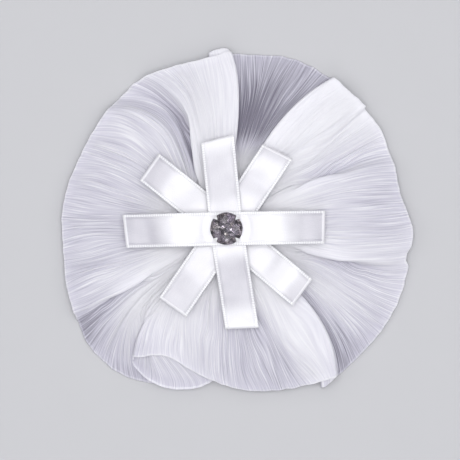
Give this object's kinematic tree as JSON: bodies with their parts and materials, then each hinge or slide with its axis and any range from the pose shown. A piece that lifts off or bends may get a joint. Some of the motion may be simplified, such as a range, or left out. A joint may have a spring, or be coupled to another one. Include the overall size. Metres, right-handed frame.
{
  "type": "flower pin",
  "caption": "Gathered chiffon flower with a star of flat satin ribbon loops, a claw-set round stone at its middle and a brooch pin behind.",
  "frame": {"origin": "on the surface that the pin lies on, below the middle of the ruffle's outline", "axes": "+Z out of the flower's face, +X along the horizontal ribbon loop to the picture's right, +Y to the picture's top"},
  "size_m": [0.1062, 0.104, 0.0193],
  "materials": {
    "chiffon": "white crinkle chiffon, matt and a little sheer",
    "satin": "white satin ribbon with woven edges",
    "setting_metal": "bright silver-coloured plating",
    "stone": "clear cut stone with a foiled back",
    "pin_metal": "plain nickel-coloured steel"
  },
  "bodies": {
    "root": {"chiffon_ruffle": "chiffon", "ribbon_loop_diagonal_left": "satin", "ribbon_loop_diagonal_right": "satin", "ribbon_loop_vertical": "satin", "ribbon_loop_horizontal": "satin", "stone_setting": "setting_metal", "rhinestone": "stone", "pin_back": "pin_metal"}
  },
  "joints": []
}
